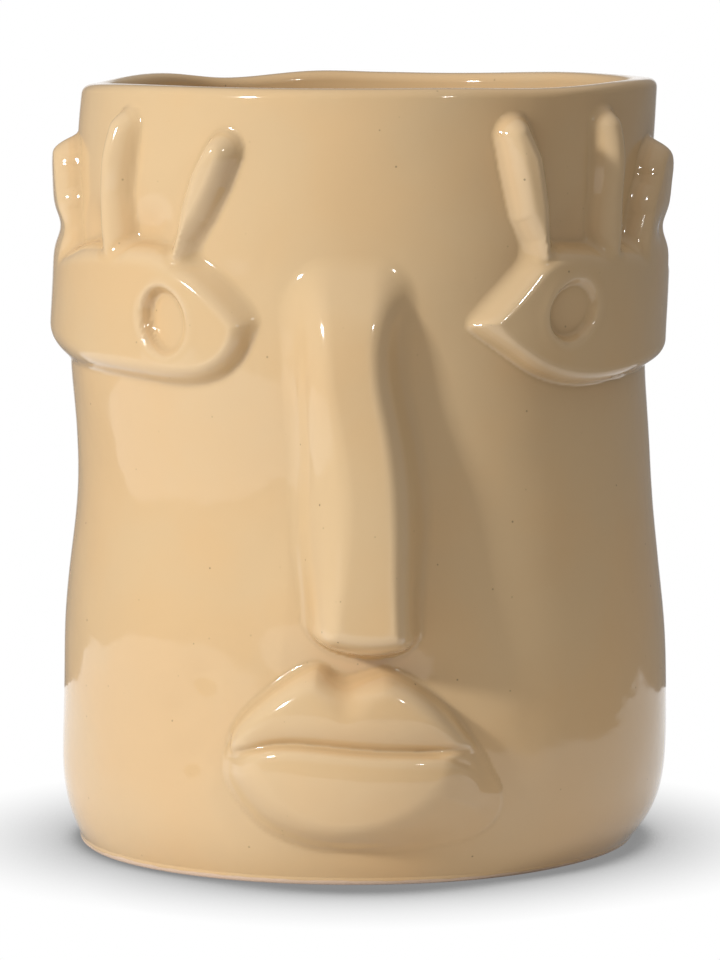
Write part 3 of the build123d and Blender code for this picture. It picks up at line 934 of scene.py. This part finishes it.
def mix_colour(tree, factor, first, second):
    made = node(tree, "ShaderNodeMix", data_type="RGBA")
    link(tree, factor, made.inputs["Factor"])
    for socket, value in (("A", first), ("B", second)):
        target = next(s for s in made.inputs if s.name == socket and s.type == "RGBA")
        if isinstance(value, tuple):
            target.default_value = (*value, 1.0)
        else:
            link(tree, value, target)
    return next(s for s in made.outputs if s.type == "RGBA")


def math_node(tree, operation, first, second):
    made = node(tree, "ShaderNodeMath", operation=operation)
    for socket, value in zip(made.inputs, (first, second)):
        if isinstance(value, (int, float)):
            socket.default_value = value
        else:
            link(tree, value, socket)
    return made.outputs["Value"]


# Colours of the glaze: plain, in warm clouds, thin over edges and thick in hollows
GLAZE = (0.70, 0.505, 0.285)
GLAZE_THIN = (0.745, 0.555, 0.335)
GLAZE_THICK = (0.52, 0.36, 0.19)
GLAZE_WARM = (0.715, 0.495, 0.265)
SPECK = (0.12, 0.07, 0.035)
BARE_CLAY = (0.72, 0.56, 0.44)

# Sizes of the glaze's patterns are noise scales, per metre
CLOUD_SCALE = 22.0
CLOUD_DETAIL = 3.0
CLOUD_RANGE = (0.35, 0.65)
POOL_THICK_RANGE = (0.03, 0.6)
POOL_THICK_MOST = 0.28
POOL_THIN_RANGE = (-0.02, -0.4)
POOL_THIN_MOST = 0.6
SPECK_SCALE = 190.0
SPECK_EDGE = (0.03, 0.085)
SPECK_RARITY = 0.5
SPECK_STRENGTH = (0.05, 0.6)
GLOSS_SCALE = 60.0
GLOSS_DETAIL = 3.0
GLOSS_RANGE = (0.3, 0.7)
GLOSS_ROUGHNESS = (0.05, 0.10)
GLAZE_IOR = 1.52
RIPPLE_SCALE = 75.0
RIPPLE_DETAIL = 2.0
RIPPLE_STRENGTH = 0.12
RIPPLE_HEIGHT = 0.0012

# The ragged edge of the glaze at the bare foot, in metres
RAGGED_SCALE = 120.0
RAGGED_DETAIL = 2.0
RAGGED_HEIGHT = 0.0012
BARE_BELOW = (0.0006, 0.0011)
CLAY_ROUGHNESS = 0.75


def make_glaze():
    """A glossy beige glaze that gathers in hollows and thins over edges, with iron specks."""
    material = bpy.data.materials.new("beige_glaze")
    material.use_nodes = True
    tree = material.node_tree
    shader = next(n for n in tree.nodes if n.type == "BSDF_PRINCIPLED")
    place = node(tree, "ShaderNodeTexCoord").outputs["Object"]

    clouds = between(tree, noise(tree, place, CLOUD_SCALE, CLOUD_DETAIL), *CLOUD_RANGE, 0.0, 1.0)
    colour = mix_colour(tree, clouds, GLAZE, GLAZE_WARM)

    pooled = node(tree, "ShaderNodeAttribute", attribute_name="pool").outputs["Fac"]
    thick = between(tree, pooled, *POOL_THICK_RANGE, 0.0, POOL_THICK_MOST)
    colour = mix_colour(tree, thick, colour, GLAZE_THICK)
    thin = between(tree, pooled, *POOL_THIN_RANGE, 0.0, POOL_THIN_MOST)
    colour = mix_colour(tree, thin, colour, GLAZE_THIN)

    cells = node(tree, "ShaderNodeTexVoronoi")
    cells.inputs["Scale"].default_value = SPECK_SCALE
    link(tree, place, cells.inputs["Vector"])
    chosen = node(tree, "ShaderNodeSeparateColor")
    link(tree, cells.outputs["Color"], chosen.inputs["Color"])
    dots = between(tree, cells.outputs["Distance"], *SPECK_EDGE, 1.0, 0.0)
    rare = math_node(tree, "GREATER_THAN", chosen.outputs["Red"], SPECK_RARITY)
    faint = between(tree, chosen.outputs["Green"], 0.0, 1.0, *SPECK_STRENGTH)
    specks = math_node(tree, "MULTIPLY", math_node(tree, "MULTIPLY", dots, rare), faint)
    colour = mix_colour(tree, specks, colour, SPECK)

    height = node(tree, "ShaderNodeSeparateXYZ")
    link(tree, place, height.inputs["Vector"])
    ragged = math_node(tree, "MULTIPLY", noise(tree, place, RAGGED_SCALE, RAGGED_DETAIL), RAGGED_HEIGHT)
    level = math_node(tree, "SUBTRACT", height.outputs["Z"], ragged)
    bare = between(tree, level, *BARE_BELOW, 1.0, 0.0)
    colour = mix_colour(tree, bare, colour, BARE_CLAY)
    link(tree, colour, shader.inputs["Base Color"])

    gloss = between(tree, noise(tree, place, GLOSS_SCALE, GLOSS_DETAIL), *GLOSS_RANGE, *GLOSS_ROUGHNESS)
    rough = node(tree, "ShaderNodeMix", data_type="FLOAT")
    link(tree, bare, rough.inputs["Factor"])
    link(tree, gloss, rough.inputs["A"])
    rough.inputs["B"].default_value = CLAY_ROUGHNESS
    link(tree, rough.outputs["Result"], shader.inputs["Roughness"])

    ripple = node(tree, "ShaderNodeBump")
    ripple.inputs["Strength"].default_value = RIPPLE_STRENGTH
    ripple.inputs["Distance"].default_value = RIPPLE_HEIGHT
    link(tree, noise(tree, place, RIPPLE_SCALE, RIPPLE_DETAIL), ripple.inputs["Height"])
    link(tree, ripple.outputs["Normal"], shader.inputs["Normal"])
    shader.inputs["IOR"].default_value = GLAZE_IOR
    return material


glaze = make_glaze()
for name, piece in pieces.items():
    piece.data.materials.append(glaze)
    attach(piece, BODY)
    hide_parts(name)


# Floor, light and camera, in metres. The floor is cut away at the front right, where it would light the vase.
FLOOR_FRONT = 1.2
FLOOR_LEFT = 1.6
FLOOR_RIGHT_FRONT = -0.2
FLOOR_RIGHT_BACK = 0.5
FLOOR_BACK = 0.3
FLOOR_COLOUR = (0.87, 0.87, 0.87, 1)

# The shadow that the floor shows round the foot
SHADOW_SAMPLES = 16
SHADOW_REACH = 0.05
SHADOW_CLOSED = 0.42
SHADOW_CURVE = 0.6
SHADOW_DARKEST = 0.26

# The room: how bright it is at the sides, overhead and where the glaze mirrors it
ROOM_COLOUR = (1.0, 0.94, 0.88, 1)
ROOM_SIDE = 0.05
ROOM_TOP = 0.62
ROOM_RISE = (0.05, 1.0)
ROOM_MIRRORED = 0.28
BACKDROP_COLOUR = (1, 1, 1, 1)
BACKDROP_EDGE = (0.97, 1.0)

# The lamps look at the middle of the vase
LAMP_TARGET = (0, 0, 0.12)
KEY_PLACE = (-1.239, -1.040, 0.745)
KEY_SIZE = 0.16
KEY_POWER = 20.0
FILL_PLACE = (0.899, -1.402, 0.929)
FILL_SIZE = 0.1
FILL_POWER = 2.9

# The camera looks a little down, as the photograph's does
CAMERA_PLACE = (-0.0012, -1.48, 0.2655)
CAMERA_DOWN = math.radians(6.12)
CAMERA_LENS = 187.8
CAMERA_SENSOR = 36.0
CAMERA_FAR = 50.0


def make_floor():
    """A pale floor, which the camera and the glaze see as white with a soft shadow."""
    mesh = bpy.data.meshes.new("floor")
    corners = [(-FLOOR_LEFT, -FLOOR_FRONT, 0), (FLOOR_RIGHT_FRONT, -FLOOR_FRONT, 0),
               (FLOOR_RIGHT_BACK, FLOOR_BACK, 0), (-FLOOR_LEFT, FLOOR_BACK, 0)]
    mesh.from_pydata(corners, [], [(0, 1, 2, 3)])
    floor = bpy.data.objects.new("floor", mesh)
    bpy.context.scene.collection.objects.link(floor)
    material = bpy.data.materials.new("floor_white")
    material.use_nodes = True
    tree = material.node_tree
    tree.nodes.clear()
    diffuse = node(tree, "ShaderNodeBsdfDiffuse")
    diffuse.inputs["Color"].default_value = FLOOR_COLOUR
    nearby = node(tree, "ShaderNodeAmbientOcclusion", samples=SHADOW_SAMPLES)
    nearby.inputs["Distance"].default_value = SHADOW_REACH
    open_sky = between(tree, nearby.outputs["AO"], SHADOW_CLOSED, 1.0, 0.0, 1.0, "LINEAR")
    open_sky = math_node(tree, "POWER", open_sky, SHADOW_CURVE)
    glow = node(tree, "ShaderNodeEmission")
    link(tree, between(tree, open_sky, 0.0, 1.0, SHADOW_DARKEST, 1.0, "LINEAR"), glow.inputs["Strength"])
    seen = node(tree, "ShaderNodeLightPath")
    shown = math_node(tree, "MAXIMUM", seen.outputs["Is Camera Ray"], seen.outputs["Is Transmission Ray"])
    shown = math_node(tree, "MAXIMUM", shown, seen.outputs["Is Glossy Ray"])
    choose = node(tree, "ShaderNodeMixShader")
    link(tree, shown, choose.inputs["Fac"])
    link(tree, diffuse.outputs["BSDF"], choose.inputs[1])
    link(tree, glow.outputs["Emission"], choose.inputs[2])
    output = node(tree, "ShaderNodeOutputMaterial")
    link(tree, choose.outputs["Shader"], output.inputs["Surface"])
    mesh.materials.append(material)


def make_world():
    """A dim room that lights the vase, which the camera sees as a white backdrop."""
    world = bpy.data.worlds.new("studio")
    bpy.context.scene.world = world
    world.use_nodes = True
    tree = world.node_tree
    tree.nodes.clear()
    seen = node(tree, "ShaderNodeLightPath")
    direction = node(tree, "ShaderNodeTexCoord")
    parts = node(tree, "ShaderNodeSeparateXYZ")
    link(tree, direction.outputs["Generated"], parts.inputs["Vector"])
    behind = between(tree, parts.outputs["Y"], *BACKDROP_EDGE, 0.0, 1.0)
    reflected = math_node(tree, "MULTIPLY", seen.outputs["Is Glossy Ray"], behind)
    shown = math_node(tree, "MAXIMUM", seen.outputs["Is Camera Ray"], seen.outputs["Is Transmission Ray"])
    white = math_node(tree, "MAXIMUM", shown, reflected)
    overhead = between(tree, parts.outputs["Z"], *ROOM_RISE, ROOM_SIDE, ROOM_TOP)
    mirrored = math_node(tree, "MULTIPLY", seen.outputs["Is Glossy Ray"], ROOM_MIRRORED)
    room = node(tree, "ShaderNodeBackground")
    room.inputs["Color"].default_value = ROOM_COLOUR
    link(tree, math_node(tree, "MAXIMUM", overhead, mirrored), room.inputs["Strength"])
    backdrop = node(tree, "ShaderNodeBackground")
    backdrop.inputs["Color"].default_value = BACKDROP_COLOUR
    backdrop.inputs["Strength"].default_value = 1.0
    choose = node(tree, "ShaderNodeMixShader")
    link(tree, white, choose.inputs["Fac"])
    link(tree, room.outputs["Background"], choose.inputs[1])
    link(tree, backdrop.outputs["Background"], choose.inputs[2])
    output = node(tree, "ShaderNodeOutputWorld")
    link(tree, choose.outputs["Shader"], output.inputs["Surface"])


def make_lamp(name, place, size, power):
    data = bpy.data.lights.new(name, "AREA")
    data.shape = "SQUARE"
    data.size = size
    data.energy = power
    lamp = bpy.data.objects.new(name, data)
    bpy.context.scene.collection.objects.link(lamp)
    lamp.location = place
    lamp.rotation_euler = (Vector(LAMP_TARGET) - Vector(place)).to_track_quat("-Z", "Y").to_euler()


def make_camera():
    data = bpy.data.cameras.new("camera")
    data.sensor_width = CAMERA_SENSOR
    data.lens = CAMERA_LENS
    data.clip_end = CAMERA_FAR
    camera = bpy.data.objects.new("camera", data)
    bpy.context.scene.collection.objects.link(camera)
    camera.location = CAMERA_PLACE
    camera.rotation_euler = (math.pi / 2 - CAMERA_DOWN, 0, 0)
    bpy.context.scene.camera = camera


make_floor()
make_world()
make_lamp("key_left", KEY_PLACE, KEY_SIZE, KEY_POWER)
make_lamp("fill_right", FILL_PLACE, FILL_SIZE, FILL_POWER)
make_camera()
bpy.context.scene.view_settings.view_transform = "Standard"
